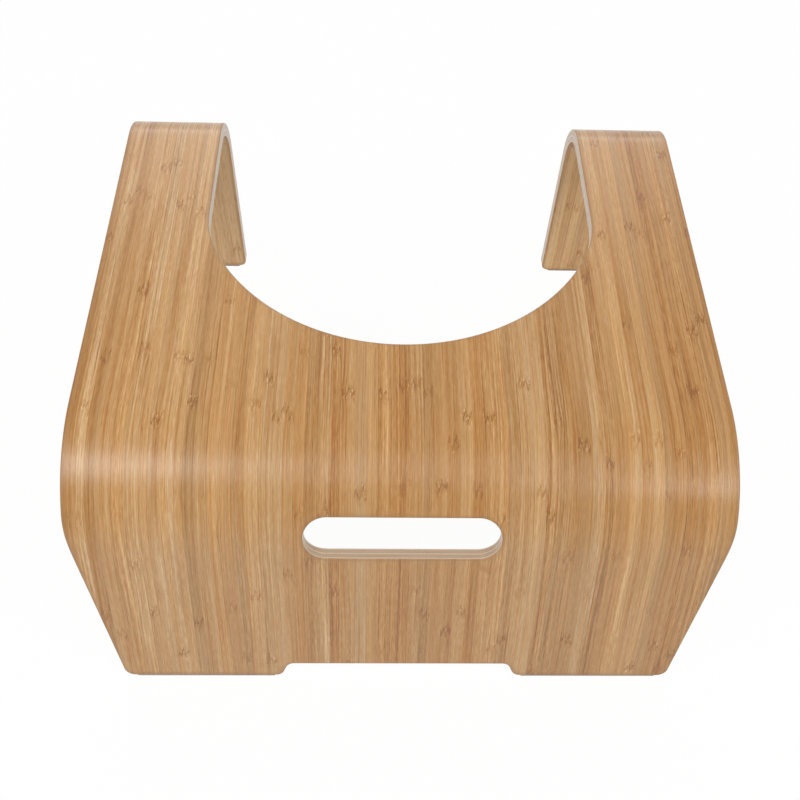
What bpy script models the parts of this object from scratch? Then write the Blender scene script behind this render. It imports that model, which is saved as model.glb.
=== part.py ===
"""Foot stool pressed from one sheet of bamboo plywood.

Five plies are cut to one flat outline, laid on each other with a glue line between them, and
bent together: a leaning front panel, a wide front bend, a tread that rises a little to the
back, a tighter rear bend, and an upright back whose middle is cut away to leave two legs.
The same cut runs on into the tread as a round recess. A hand slot sits low on the front bend,
and a thin strip under each of the four feet keeps the stool from sliding.

Lengths are in metres. X runs across the stool, Y from its front to its back and Z upwards.
The origin is on the floor, at the middle of the stool's footprint.

The sheet is drawn flat first: X across it, Y the distance along its outer face from the front
foot, and Z out of that face. The bending then carries each point onto the stool.
"""

import math
from collections import namedtuple

import bmesh
import bpy
from mathutils import Matrix, Vector

# Sheet
STOOL_WIDTH = 0.450
SHEET_THICKNESS = 0.0110
GLUE_LINE = 0.0003

# Side view, along the outer face from the front foot to the back
FRONT_PANEL_LENGTH = 0.1152
FRONT_LEAN = math.radians(20)
FRONT_BEND_RADIUS = 0.0955
TREAD_LENGTH = 0.2665
TREAD_RISE = math.radians(3)
REAR_BEND_RADIUS = 0.0420
REAR_LEAN = math.radians(0)

# Sides, which draw in towards the feet
TAPER_ANGLE = math.radians(10.3)
TAPER_HEIGHT = 0.1380
TAPER_BLEND_RADIUS = 0.115
FOOT_CORNER_RADIUS = 0.0080

# Front feet, with a low relief between them
FRONT_FOOT_WIDTH = 0.1140
RELIEF_HEIGHT = 0.0123
RELIEF_SLOPE = math.radians(67)
RELIEF_CORNER_RADIUS = 0.0063

# Rear legs, with the recess between them that runs on into the tread
LEG_WIDTH = 0.0758
LEG_CORNER_RADIUS = 0.0060
RECESS_SETBACK = 0.0512
RECESS_BLEND_RADIUS = 0.0900
RECESS_BLEND_TURN = math.radians(27.8)

# Hand slot, with its centre this far past the foot of the front bend
SLOT_LENGTH = 0.1340
SLOT_HEIGHT = 0.0320
SLOT_RISE = 0.0165

# Rounding of the sheet's outer and inner arrises
ARRIS_RADIUS = 0.0010
ARRIS_SEGMENTS = 2

# Strips under the feet, set in from the edges of the feet's flat ends
PAD_THICKNESS = 0.0010
PAD_MARGIN = 0.0003
PAD_CORNER_RADIUS = 0.0020
PAD_CORNER_SEGMENTS = 3

# How far the straight pieces of a round stretch may stray from it, how near to each other two
# points are one, and how little a face may turn from the next to be one with it
SAG = 0.00008
WELD_DISTANCE = 0.000002
FLAT_ANGLE = math.radians(0.05)
SMOOTH_ANGLE = math.radians(30)

# Finishes: colour, roughness and how much of the light they hold back
FACE = ("bamboo_face", (0.540, 0.318, 0.139), 0.42, 1.0)
CROSS_GRAIN = ("bamboo_end_grain", (0.452, 0.318, 0.202), 0.70, 1.0)
LONG_GRAIN = ("bamboo_side_grain", (0.560, 0.365, 0.205), 0.62, 1.0)
CLEAR_RUBBER = ("clear_rubber", (0.640, 0.560, 0.530), 0.30, 0.75)

# The plies from the outer face of the sheet to its inner face
PLIES = (
    ("outer_face_ply", FACE),
    ("outer_core_ply", CROSS_GRAIN),
    ("middle_core_ply", LONG_GRAIN),
    ("inner_core_ply", CROSS_GRAIN),
    ("inner_face_ply", FACE),
)

# What follows from the sizes above
UPRIGHT = math.radians(90)
PLY_THICKNESS = (SHEET_THICKNESS - (len(PLIES) - 1) * GLUE_LINE) / len(PLIES)
HALF_WIDTH = STOOL_WIDTH / 2
FOOT_HALF_WIDTH = HALF_WIDTH - TAPER_HEIGHT * math.tan(TAPER_ANGLE)
RELIEF_HALF_WIDTH = FOOT_HALF_WIDTH - FRONT_FOOT_WIDTH
RECESS_HALF_WIDTH = HALF_WIDTH - LEG_WIDTH
FRONT_BEND_TURN = UPRIGHT - FRONT_LEAN - TREAD_RISE
REAR_BEND_TURN = UPRIGHT - REAR_LEAN + TREAD_RISE
TREAD_START = FRONT_PANEL_LENGTH + FRONT_BEND_RADIUS * FRONT_BEND_TURN
FOOT_LEVEL = PAD_THICKNESS + GLUE_LINE

# The corners of the flat outline at positive X, in their order from the relief to the recess
CORNER_RADII = {
    "relief_top": RELIEF_CORNER_RADIUS,
    "relief_foot": RELIEF_CORNER_RADIUS,
    "front_foot": FOOT_CORNER_RADIUS,
    "front_taper": TAPER_BLEND_RADIUS,
    "rear_taper": TAPER_BLEND_RADIUS,
    "rear_foot": FOOT_CORNER_RADIUS,
    "leg_foot": LEG_CORNER_RADIUS,
}

# One line across the sheet: its distance along the outer face, where it lies in side view,
# and the step in side view that a unit of depth into the sheet makes
Station = namedtuple("Station", "along point inward")

# One corner between two straight edges of the flat outline: where it lies, the directions that
# the outline arrives and leaves in, and the radius that rounds it
Corner = namedtuple("Corner", "point arriving leaving radius")


def heading_vector(heading):
    """The direction at an angle above the level, as (Y, Z) in side view or (X, Y) on the flat."""
    return Vector((math.cos(heading), math.sin(heading)))


def inward_vector(heading):
    """The direction into the sheet where its outer face runs along a heading."""
    return Vector((math.sin(heading), -math.cos(heading)))


def arc_angles(radius, start, end):
    """The angles of the points that draw an arc, both ends among them."""
    step = 2 * math.acos(1 - min(1, SAG / radius))
    steps = max(1, math.ceil(abs(end - start) / step))
    return [start + (end - start) * number / steps for number in range(steps + 1)]


def straight_end(start, heading, length):
    """The station at the far end of a flat stretch."""
    point = start.point + length * heading_vector(heading)
    return Station(start.along + length, point, inward_vector(heading))


def bend_stations(start, heading, turn, radius):
    """The stations of a bend that turns down from a heading, both ends among them."""
    centre = start.point + radius * inward_vector(heading)
    stations = []
    for turned in arc_angles(radius, 0, turn):
        inward = inward_vector(heading - turned)
        stations.append(Station(start.along + radius * turned, centre - radius * inward, inward))
    return stations


def sheet_stations():
    """The side view of the sheet, from the front foot to the rear one, on a floor at zero.

    Both ends of the sheet are cut level with the floor, so that depth runs level there.
    """
    front_foot = Station(0, Vector((0, 0)), Vector((1 / math.cos(FRONT_LEAN), 0)))
    rising = UPRIGHT - FRONT_LEAN
    falling = REAR_LEAN - UPRIGHT
    panel_end = straight_end(front_foot, rising, FRONT_PANEL_LENGTH)
    front_bend = bend_stations(panel_end, rising, FRONT_BEND_TURN, FRONT_BEND_RADIUS)
    tread_end = straight_end(front_bend[-1], TREAD_RISE, TREAD_LENGTH)
    rear_bend = bend_stations(tread_end, TREAD_RISE, REAR_BEND_TURN, REAR_BEND_RADIUS)
    leg_end = straight_end(rear_bend[-1], falling, rear_bend[-1].point.y / math.cos(REAR_LEAN))
    rear_foot = leg_end._replace(inward=Vector((-1 / math.cos(REAR_LEAN), 0)))
    return [front_foot, *front_bend, *rear_bend, rear_foot]


def bent_point(stations, flat):
    """Where a point of the flat sheet lies on the stool, with the front foot's edge at Y zero."""
    after = 1
    while after < len(stations) - 1 and stations[after].along < flat.y:
        after += 1
    low, high = stations[after - 1], stations[after]
    part = (flat.y - low.along) / (high.along - low.along)
    place = low.point.lerp(high.point, part) - flat.z * low.inward.lerp(high.inward, part)
    return Vector((flat.x, place.x, place.y + FOOT_LEVEL))


def arc_points(centre, radius, start, end):
    """The points of an arc on the flat, from one angle to another, both ends among them."""
    return [centre + radius * heading_vector(angle) for angle in arc_angles(radius, start, end)]


def corner_turn(corner):
    """The angle that the outline turns by at a corner, anticlockwise positive."""
    return -corner.arriving.angle_signed(corner.leaving)


def corner_setback(corner):
    """How far from a corner its rounding starts, on each of the two edges that meet there."""
    return corner.radius * math.tan(abs(corner_turn(corner)) / 2)


def rounded_corner(corner):
    """The points of the arc that rounds a corner."""
    turn = corner_turn(corner)
    side = Vector((-corner.arriving.y, corner.arriving.x)) * math.copysign(1, turn)
    centre = corner.point - corner.arriving * corner_setback(corner) + side * corner.radius
    start = math.atan2(-side.y, -side.x)
    return arc_points(centre, corner.radius, start, start + turn)


def recess_edge():
    """The recess from its foremost point to its straight side, for the half at positive X.

    One arc crosses the middle of the tread, and a tighter one blends it into the side.
    """
    blend_reach = RECESS_HALF_WIDTH - RECESS_BLEND_RADIUS
    arc_radius = RECESS_BLEND_RADIUS + blend_reach / math.cos(RECESS_BLEND_TURN)
    arc_centre = Vector((0, TREAD_START + RECESS_SETBACK + arc_radius))
    blend_centre = arc_centre + Vector((blend_reach, -blend_reach * math.tan(RECESS_BLEND_TURN)))
    arc = arc_points(arc_centre, arc_radius, -UPRIGHT, -RECESS_BLEND_TURN)
    blend = arc_points(blend_centre, RECESS_BLEND_RADIUS, -RECESS_BLEND_TURN, 0)
    return arc + blend[1:]


def half_corners(sheet_length):
    """The corners of the flat outline at positive X, by name."""
    relief_run = RELIEF_HEIGHT / math.tan(RELIEF_SLOPE)
    places = [
        Vector((0, RELIEF_HEIGHT)),
        Vector((RELIEF_HALF_WIDTH - relief_run, RELIEF_HEIGHT)),
        Vector((RELIEF_HALF_WIDTH, 0)),
        Vector((FOOT_HALF_WIDTH, 0)),
        Vector((HALF_WIDTH, TAPER_HEIGHT)),
        Vector((HALF_WIDTH, sheet_length - TAPER_HEIGHT)),
        Vector((FOOT_HALF_WIDTH, sheet_length)),
        Vector((RECESS_HALF_WIDTH, sheet_length)),
        recess_edge()[-1],
    ]
    corners = {}
    for (name, radius), before, place, after in zip(
        CORNER_RADII.items(), places, places[1:], places[2:]
    ):
        arriving = (place - before).normalized()
        leaving = (after - place).normalized()
        corners[name] = Corner(place, arriving, leaving, radius)
    return corners


def sheet_outline(sheet_length):
    """The whole flat outline: its half at positive X, and that half's mirror image."""
    half = []
    for corner in half_corners(sheet_length).values():
        half += rounded_corner(corner)
    half += reversed(recess_edge())
    return half + [Vector((-point.x, point.y)) for point in reversed(half[:-1])]


def slot_outline():
    """The hand slot's flat outline, with half-round ends."""
    radius = SLOT_HEIGHT / 2
    reach = SLOT_LENGTH / 2 - radius
    rise = FRONT_PANEL_LENGTH + SLOT_RISE
    right = arc_points(Vector((reach, rise)), radius, -UPRIGHT, UPRIGHT)
    left = arc_points(Vector((-reach, rise)), radius, UPRIGHT, 3 * UPRIGHT)
    return right + left


def filled_mesh(outlines, thickness):
    """A flat shape as a mesh, from its outline and those of its holes."""
    curve = bpy.data.curves.new("outline", "CURVE")
    curve.dimensions = "2D"
    curve.fill_mode = "BOTH"
    curve.extrude = thickness / 2
    for outline in outlines:
        spline = curve.splines.new("POLY")
        spline.points.add(len(outline) - 1)
        spline.use_cyclic_u = True
        for point, place in zip(spline.points, outline):
            point.co = (place.x, place.y, 0, 1)
    drawing = bpy.data.objects.new("outline", curve)
    bpy.context.scene.collection.objects.link(drawing)
    graph = bpy.context.evaluated_depsgraph_get()
    mesh = bpy.data.meshes.new_from_object(drawing.evaluated_get(graph))
    bpy.data.objects.remove(drawing)
    bpy.data.curves.remove(curve)
    return mesh


def mark_bend_lines(sheet, stations):
    """Cuts the flat sheet along the stations, and joins what lies flat between two of them."""
    for station in stations[1:-1]:
        cut = bmesh.ops.bisect_plane(
            sheet,
            geom=[*sheet.verts, *sheet.edges, *sheet.faces],
            dist=WELD_DISTANCE,
            plane_co=(0, station.along, 0),
            plane_no=(0, 1, 0),
        )
        for piece in cut["geom_cut"]:
            if isinstance(piece, bmesh.types.BMEdge):
                piece.seam = True
    bmesh.ops.dissolve_limit(
        sheet,
        angle_limit=FLAT_ANGLE,
        verts=sheet.verts,
        edges=sheet.edges,
        delimit={"SEAM"},
    )


def round_arris(sheet, level):
    """Gives full bevel weight to the edges round the sheet's face at a level of the flat."""
    weight = sheet.edges.layers.float.new("bevel_weight_edge")
    for edge in sheet.edges:
        on_face = all(abs(vert.co.z - level) < WELD_DISTANCE for vert in edge.verts)
        edge[weight] = float(on_face and edge.calc_face_angle() > SMOOTH_ANGLE)


def bent_ply(stations, depth, arris_depth):
    """A ply's mesh at a depth of the sheet, with the arris at another depth ready to round."""
    mesh = filled_mesh([sheet_outline(stations[-1].along), slot_outline()], PLY_THICKNESS)
    ply = bmesh.new()
    ply.from_mesh(mesh)
    bmesh.ops.remove_doubles(ply, verts=ply.verts, dist=WELD_DISTANCE)
    bmesh.ops.translate(ply, verts=ply.verts, vec=(0, 0, -depth - PLY_THICKNESS / 2))
    mark_bend_lines(ply, stations)
    if arris_depth is not None:
        round_arris(ply, -arris_depth)
    for vert in ply.verts:
        vert.co = bent_point(stations, vert.co)
    bmesh.ops.recalc_face_normals(ply, faces=ply.faces)
    ply.to_mesh(mesh)
    ply.free()
    return mesh


def pad_mesh(length, width):
    """A flat strip with rounded corners, as long as X and as wide as Y say."""
    pad = bmesh.new()
    size = Matrix.Diagonal((length, width, PAD_THICKNESS, 1))
    bmesh.ops.create_cube(pad, size=1, matrix=size)
    upright = [edge for edge in pad.edges if edge.verts[0].co.xy == edge.verts[1].co.xy]
    bmesh.ops.bevel(
        pad,
        geom=upright,
        offset=PAD_CORNER_RADIUS,
        segments=PAD_CORNER_SEGMENTS,
        profile=0.5,
        affect="EDGES",
    )
    mesh = bpy.data.meshes.new("pad")
    pad.to_mesh(mesh)
    pad.free()
    return mesh


def finish_material(name, colour, roughness, alpha):
    """The material of a finish, made once."""
    if name in bpy.data.materials:
        return bpy.data.materials[name]
    material = bpy.data.materials.new(name)
    material.use_nodes = True
    shader = material.node_tree.nodes["Principled BSDF"]
    shader.inputs["Base Color"].default_value = (*colour, 1)
    shader.inputs["Roughness"].default_value = roughness
    shader.inputs["Metallic"].default_value = 0
    shader.inputs["Alpha"].default_value = alpha
    return material


def add_piece(collection, stand, name, mesh, finish, location):
    """A piece of the stool under its stand, shaded smooth but for its corners."""
    mesh.name = name
    mesh.materials.append(finish_material(*finish))
    mesh.shade_smooth()
    mesh.set_sharp_from_angle(angle=SMOOTH_ANGLE)
    piece = bpy.data.objects.new(name, mesh)
    piece.parent = stand
    piece.location = location
    collection.objects.link(piece)
    return piece


def add_plies(collection, stand, stations):
    """The five plies, with the outer and inner arris of the sheet rounded."""
    arris_depths = {0: 0, len(PLIES) - 1: SHEET_THICKNESS}
    plies = []
    for number, (name, finish) in enumerate(PLIES):
        arris_depth = arris_depths.get(number)
        mesh = bent_ply(stations, number * (PLY_THICKNESS + GLUE_LINE), arris_depth)
        ply = add_piece(collection, stand, name, mesh, finish, (0, 0, 0))
        if arris_depth is not None:
            arris = ply.modifiers.new("arris", "BEVEL")
            arris.limit_method = "WEIGHT"
            arris.width = ARRIS_RADIUS
            arris.segments = ARRIS_SEGMENTS
            arris.use_clamp_overlap = False
        plies.append(ply)
    return plies


def add_pads(collection, stand, stations):
    """The four strips, each under the flat end of a foot."""
    corners = half_corners(stations[-1].along)
    front_depth = SHEET_THICKNESS / math.cos(FRONT_LEAN)
    rear_depth = SHEET_THICKNESS / math.cos(REAR_LEAN)
    rear_edge = stations[-1].point.x
    feet = (
        ("front", corners["relief_foot"], corners["front_foot"], front_depth, front_depth / 2),
        ("rear", corners["leg_foot"], corners["rear_foot"], rear_depth, rear_edge - rear_depth / 2),
    )
    for place, inner, outer, depth, middle in feet:
        low = inner.point.x + corner_setback(inner) + PAD_MARGIN
        high = outer.point.x - corner_setback(outer) - PAD_MARGIN
        for side, sign in (("left", -1), ("right", 1)):
            mesh = pad_mesh(high - low, depth - 2 * PAD_MARGIN)
            location = (sign * (low + high) / 2, middle, PAD_THICKNESS / 2)
            name = f"{place}_{side}_pad"
            add_piece(collection, stand, name, mesh, CLEAR_RUBBER, location)


def centre_footprint(stand, plies):
    """Moves the stand so that the stool reaches as far forwards of it as backwards."""
    graph = bpy.context.evaluated_depsgraph_get()
    reach = [vert.co.y for ply in plies for vert in ply.evaluated_get(graph).data.vertices]
    stand.location.y = -(min(reach) + max(reach)) / 2


def build_stool():
    """Clears the scene and builds the stool in a collection of its own."""
    for thing in list(bpy.data.objects):
        bpy.data.objects.remove(thing)
    collection = bpy.data.collections.new("foot_stool")
    bpy.context.scene.collection.children.link(collection)
    stand = bpy.data.objects.new("stand", None)
    collection.objects.link(stand)
    stations = sheet_stations()
    centre_footprint(stand, add_plies(collection, stand, stations))
    add_pads(collection, stand, stations)


build_stool()
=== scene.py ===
"""The looks of a bathroom foot stool pressed from one sheet of bamboo plywood.

Five plies are drawn as flat blanks, the outermost and the innermost with a rounded rim, and one
Geometry Nodes tree presses each of them over the front bend, the tread and the rear bend. A second
tree makes the clear strips under the feet. Every ply keeps its place on the flat sheet as an
attribute, so that the bamboo runs on unbroken over the bends and shows its own grain where the
sheet is cut.

Lengths are in metres. X runs across the stool, Y from its front to its back and Z upwards. On the
flat sheet X runs across, Y is the distance along its outer face from the front foot, and Z points
out of that face.
"""

import math

import bmesh
import bpy
from mathutils import Matrix, Vector
from mathutils.geometry import tessellate_polygon


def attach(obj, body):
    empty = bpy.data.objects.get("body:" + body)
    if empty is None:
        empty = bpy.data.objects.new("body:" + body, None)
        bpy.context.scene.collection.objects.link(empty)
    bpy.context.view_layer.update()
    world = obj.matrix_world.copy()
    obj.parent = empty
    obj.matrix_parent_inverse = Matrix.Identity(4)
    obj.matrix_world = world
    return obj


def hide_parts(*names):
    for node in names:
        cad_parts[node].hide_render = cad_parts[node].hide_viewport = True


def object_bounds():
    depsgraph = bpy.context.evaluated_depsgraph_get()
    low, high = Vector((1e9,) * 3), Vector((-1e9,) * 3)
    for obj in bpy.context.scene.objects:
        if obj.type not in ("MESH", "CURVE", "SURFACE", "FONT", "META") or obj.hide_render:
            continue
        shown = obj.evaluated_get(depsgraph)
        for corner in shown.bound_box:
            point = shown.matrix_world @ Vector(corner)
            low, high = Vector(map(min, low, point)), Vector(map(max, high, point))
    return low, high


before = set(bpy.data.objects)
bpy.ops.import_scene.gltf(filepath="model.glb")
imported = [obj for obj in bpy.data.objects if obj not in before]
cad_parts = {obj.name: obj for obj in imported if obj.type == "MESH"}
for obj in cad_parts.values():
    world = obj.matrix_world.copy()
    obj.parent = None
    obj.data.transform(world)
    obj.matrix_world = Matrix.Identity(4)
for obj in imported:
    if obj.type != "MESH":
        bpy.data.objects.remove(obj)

CAD_BOX = [list(map(float, corner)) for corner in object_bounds()]

# Sheet
STOOL_WIDTH = 0.450
SHEET_THICKNESS = 0.0110

# Side view, along the outer face from the front foot to the back
FRONT_PANEL_LENGTH = 0.1152
FRONT_LEAN = math.radians(20)
FRONT_BEND_RADIUS = 0.0955
TREAD_LENGTH = 0.2665
TREAD_RISE = math.radians(3)
REAR_BEND_RADIUS = 0.0420

# Sides, which draw in towards the feet
TAPER_ANGLE = math.radians(10.3)
TAPER_HEIGHT = 0.1380
TAPER_BLEND_RADIUS = 0.115
FOOT_CORNER_RADIUS = 0.0080

# Front feet, with a low relief between them
FRONT_FOOT_WIDTH = 0.1140
RELIEF_HEIGHT = 0.0123
RELIEF_SLOPE = math.radians(67)
RELIEF_CORNER_RADIUS = 0.0063

# Rear legs, with the recess between them that runs on into the tread
LEG_WIDTH = 0.0758
LEG_CORNER_RADIUS = 0.0060
RECESS_SETBACK = 0.0512
RECESS_BLEND_RADIUS = 0.0900
RECESS_BLEND_TURN = math.radians(27.8)

# Hand slot, with its centre this far past the foot of the front bend
SLOT_LENGTH = 0.1340
SLOT_HEIGHT = 0.0320
SLOT_RISE = 0.0165

# Rounded rim of the sheet's two faces, and how far in from it the rim darkening reaches, which is painted
# shade of the rounded rim with some edge wear
ARRIS_RADIUS = 0.00103
ARRIS_SEGMENTS = 4
RIM_SHADE_AND_WEAR_REACH = 0.0040

# Strips under the feet
STRIP_MARGIN = 0.0003
STRIP_CORNER_RADIUS = 0.0020
STRIP_CORNER_POINTS = 6
STRIP_ROUNDING = 0.00025
STRIP_ROUNDING_SEGMENTS = 3

# How finely round stretches are drawn, and what counts as one place, as flat and as smooth
OUTLINE_SAG = 0.00001
BEND_STEP = math.radians(1.5)
WELD_DISTANCE = 0.000002
FLAT_ANGLE = math.radians(0.05)
SMOOTH_ANGLE = math.radians(35)

# How far an inset may stretch at a sharp corner, as the least share that it is divided by
LEAST_MITRE_SHARE = 0.5

# A face of a blank is a cut edge where the upright share of its normal is less than this
CUT_EDGE_SHARE = 0.5

# Laths on the flat sheet. The first one's number picks the stretch of the pattern that shows. The
# border's pair gives the shares of a lath at which the tone along its side is gone and full.
LATH_WIDTH = 0.0080
LATH_UNEVENNESS = 0.6
LATH_BORDER_SHARES = (0.085, 0.03)
FIRST_LATH = 97.0

# Knuckles: how far apart they are, the weakest and the strongest, and how far to the side of a
# lath's middle, in shares of its width, they are gone and full
KNUCKLE_SPACING = 0.160
KNUCKLE_STRENGTHS = (0.12, 1.0)
KNUCKLE_SIDE_SHARES = (0.66, 0.46)

# A knuckle's marks. Each pair gives how far from its middle a mark is gone and how far it is full.
STROKE_REACH = (0.0025, 0.0006)
SMUDGE_REACH = (0.0095, 0.0010)
SWERVE_REACH = (0.016, 0.0)
TEETH_PER_METRE = 240.0
TOOTH_RISE = 0.013
STROKE_WAVER = 0.026
SMUDGE_WAVER = 0.016

# How far fibres stray to the side as they run, and round a knuckle
FIBRE_WANDER = 0.002
FIBRE_SWERVE = 0.006

# Bamboo from its darkest tone to its palest, with the tone that reaches either end
BAMBOO_COLOURS = (
    (0.00, (0.290, 0.112, 0.026)),
    (0.26, (0.414, 0.192, 0.050)),
    (0.50, (0.500, 0.262, 0.092)),
    (0.74, (0.595, 0.348, 0.148)),
    (1.00, (0.720, 0.490, 0.260)),
)
TONE_REACH = 5.0
# The inner face is paler: partly its own tone, partly painted light for the shaded inner faces of the rear
# legs
INNER_FACE_TONE_WITH_PAINTED_LIGHT = 3.4

# What a whole step of hue adds to the red and to the blue of the wood
RED_LEAN = 0.09
BLUE_LEAN = -0.20

# From the calmest lath to the one most full of lines
BUSYNESS = (0.60, 1.35)

# Roughness of each finish, from its smoothest places to its roughest
LACQUER_ROUGHNESS = (0.23, 0.30)
EDGE_ROUGHNESS = (0.26, 0.38)
RUBBER_ROUGHNESS = (0.30, 0.45)

# Darker along the rims: painted shade of the rounded rims with some edge wear. Greyer low on the panel: a
# painted sheen; greyer from the rear bends on: painted light. Each pair gives the distances along the sheet
# at which the grey is gone and full.
RIM_SHADE_AND_WEAR_COLOUR = (0.300, 0.155, 0.060, 1)
RIM_SHADE_AND_WEAR_STRENGTH = 0.40
RUBBED_ROUGHENING = 0.2
PAINTED_SHEEN_AND_LIGHT_COLOUR = (0.78, 0.77, 0.76, 1)
PAINTED_SHEEN_PANEL = (0.165, 0.115)
PAINTED_SHEEN_PANEL_SHARE = 0.042
PAINTED_LIGHT_REAR = (0.48, 0.51)
PAINTED_LIGHT_REAR_SHARE = 0.08

# Cut edges: how often fibres repeat in a metre along and across them, and the glue lines between
# plies, with the shares of a ply and the distances from a face at which they are gone and full
GRAIN_ALONG = 30.0
GRAIN_ACROSS = 1400.0
GLUE_COLOUR = (0.36, 0.27, 0.19, 1)
GLUE_REACH_SHARES = (0.11, 0.04)
GLUE_FROM_FACE = (0.0008, 0.0014)
EDGE_FINISHES = {
    "long": (
        "bamboo edge, long grain",
        (GRAIN_ACROSS, GRAIN_ALONG, GRAIN_ACROSS),
        (0.80, 0.67, 0.52),
        (0.70, 0.54, 0.38),
    ),
    "cross": (
        "bamboo edge, cross grain",
        (GRAIN_ALONG, GRAIN_ACROSS, GRAIN_ACROSS),
        (0.70, 0.52, 0.36),
        (0.58, 0.40, 0.25),
    ),
}

# Clear rubber, where its clouds are thin and where they are thick
RUBBER_THIN = (0.38, 0.29, 0.24, 1)
RUBBER_THICK = (0.30, 0.22, 0.18, 1)

# Floor and surround. The camera sees the floor as this share of plain white, and the rest is lit.
WHITE = (1, 1, 1, 1)
FLOOR_COLOUR = (0.78, 0.78, 0.78, 1)
FLOOR_REACH = 8.0
FLOOR_GLOW_SHARE = 0.96
SURROUND_STRENGTH = 0.24

# Lamps: their names, places, sizes and radiances, and the point that they shine at
LAMPS = (
    ("left_lamp", (-1.00, -0.97, 1.86), (0.90, 0.72), 6.3),
    ("left_side_lamp", (-1.90, -0.95, 2.15), (1.20, 1.00), 3.6),
    ("right_lamp", (1.14, -1.05, 1.35), (1.08, 0.38), 6.4),
    ("right_side_lamp", (2.20, -0.95, 2.20), (1.20, 1.00), 2.6),
    ("front_lamp", (0.06, -1.25, 2.15), (1.60, 1.00), 1.15),
    ("back_lamp", (0.0, 2.10, 1.60), (2.2, 1.0), 2.7),
)
LAMP_TARGET = (0, 0, 0.1)

# The photograph's camera: where it stands, its lens and sensor in millimetres, and the three turns
# that aim it
CAMERA_PLACE = (-0.02167, -0.47638, 0.68618)
CAMERA_LENS = 42.6
CAMERA_SENSOR_WIDTH = 36
CAMERA_HEADING = -0.0496963
CAMERA_DIP = 0.9254577
CAMERA_ROLL = 0.0496730

# What follows from the sizes above
UPRIGHT = math.radians(90)
PANEL_RISE = UPRIGHT - FRONT_LEAN
FRONT_BEND_TURN = PANEL_RISE - TREAD_RISE
REAR_BEND_TURN = UPRIGHT + TREAD_RISE
HALF_WIDTH = STOOL_WIDTH / 2
FOOT_HALF_WIDTH = HALF_WIDTH - TAPER_HEIGHT * math.tan(TAPER_ANGLE)
RELIEF_HALF_WIDTH = FOOT_HALF_WIDTH - FRONT_FOOT_WIDTH
RECESS_HALF_WIDTH = HALF_WIDTH - LEG_WIDTH
TREAD_START = FRONT_PANEL_LENGTH + FRONT_BEND_RADIUS * FRONT_BEND_TURN
TREAD_END = TREAD_START + TREAD_LENGTH
REAR_BEND_END = TREAD_END + REAR_BEND_RADIUS * REAR_BEND_TURN
TREAD_END_HEIGHT = (
    FRONT_PANEL_LENGTH * math.sin(PANEL_RISE)
    + FRONT_BEND_RADIUS * (math.cos(TREAD_RISE) - math.cos(PANEL_RISE))
    + TREAD_LENGTH * math.sin(TREAD_RISE)
)
SHEET_HEIGHT = TREAD_END_HEIGHT + REAR_BEND_RADIUS * (1 - math.cos(TREAD_RISE))
SHEET_LENGTH = REAR_BEND_END + TREAD_END_HEIGHT - REAR_BEND_RADIUS * math.cos(TREAD_RISE)
SHEET_DEPTH = (
    FRONT_PANEL_LENGTH * math.cos(PANEL_RISE)
    + FRONT_BEND_RADIUS * (math.sin(PANEL_RISE) - math.sin(TREAD_RISE))
    + TREAD_LENGTH * math.cos(TREAD_RISE)
    + REAR_BEND_RADIUS * (math.sin(TREAD_RISE) + 1)
)
FOOT_LEVEL = CAD_BOX[1][2] - SHEET_HEIGHT
FOOT_FRONT = CAD_BOX[1][1] - SHEET_DEPTH

# Plies from the outer face inwards: the piece, the CAD node it stands for, its record slot and
# the finish of its cut edge
PLIES = (
    ("outer_face", "outer_face_ply", "bamboo_face", "long"),
    ("outer_core", "outer_core_ply", "bamboo_end_grain", "cross"),
    ("middle_core", "middle_core_ply", "bamboo_side_grain", "long"),
    ("inner_core", "inner_core_ply", "bamboo_end_grain", "cross"),
    ("inner_face", "inner_face_ply", "bamboo_face", "long"),
)
PLY_THICKNESS = SHEET_THICKNESS / len(PLIES)


# Wiring of node trees


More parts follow.
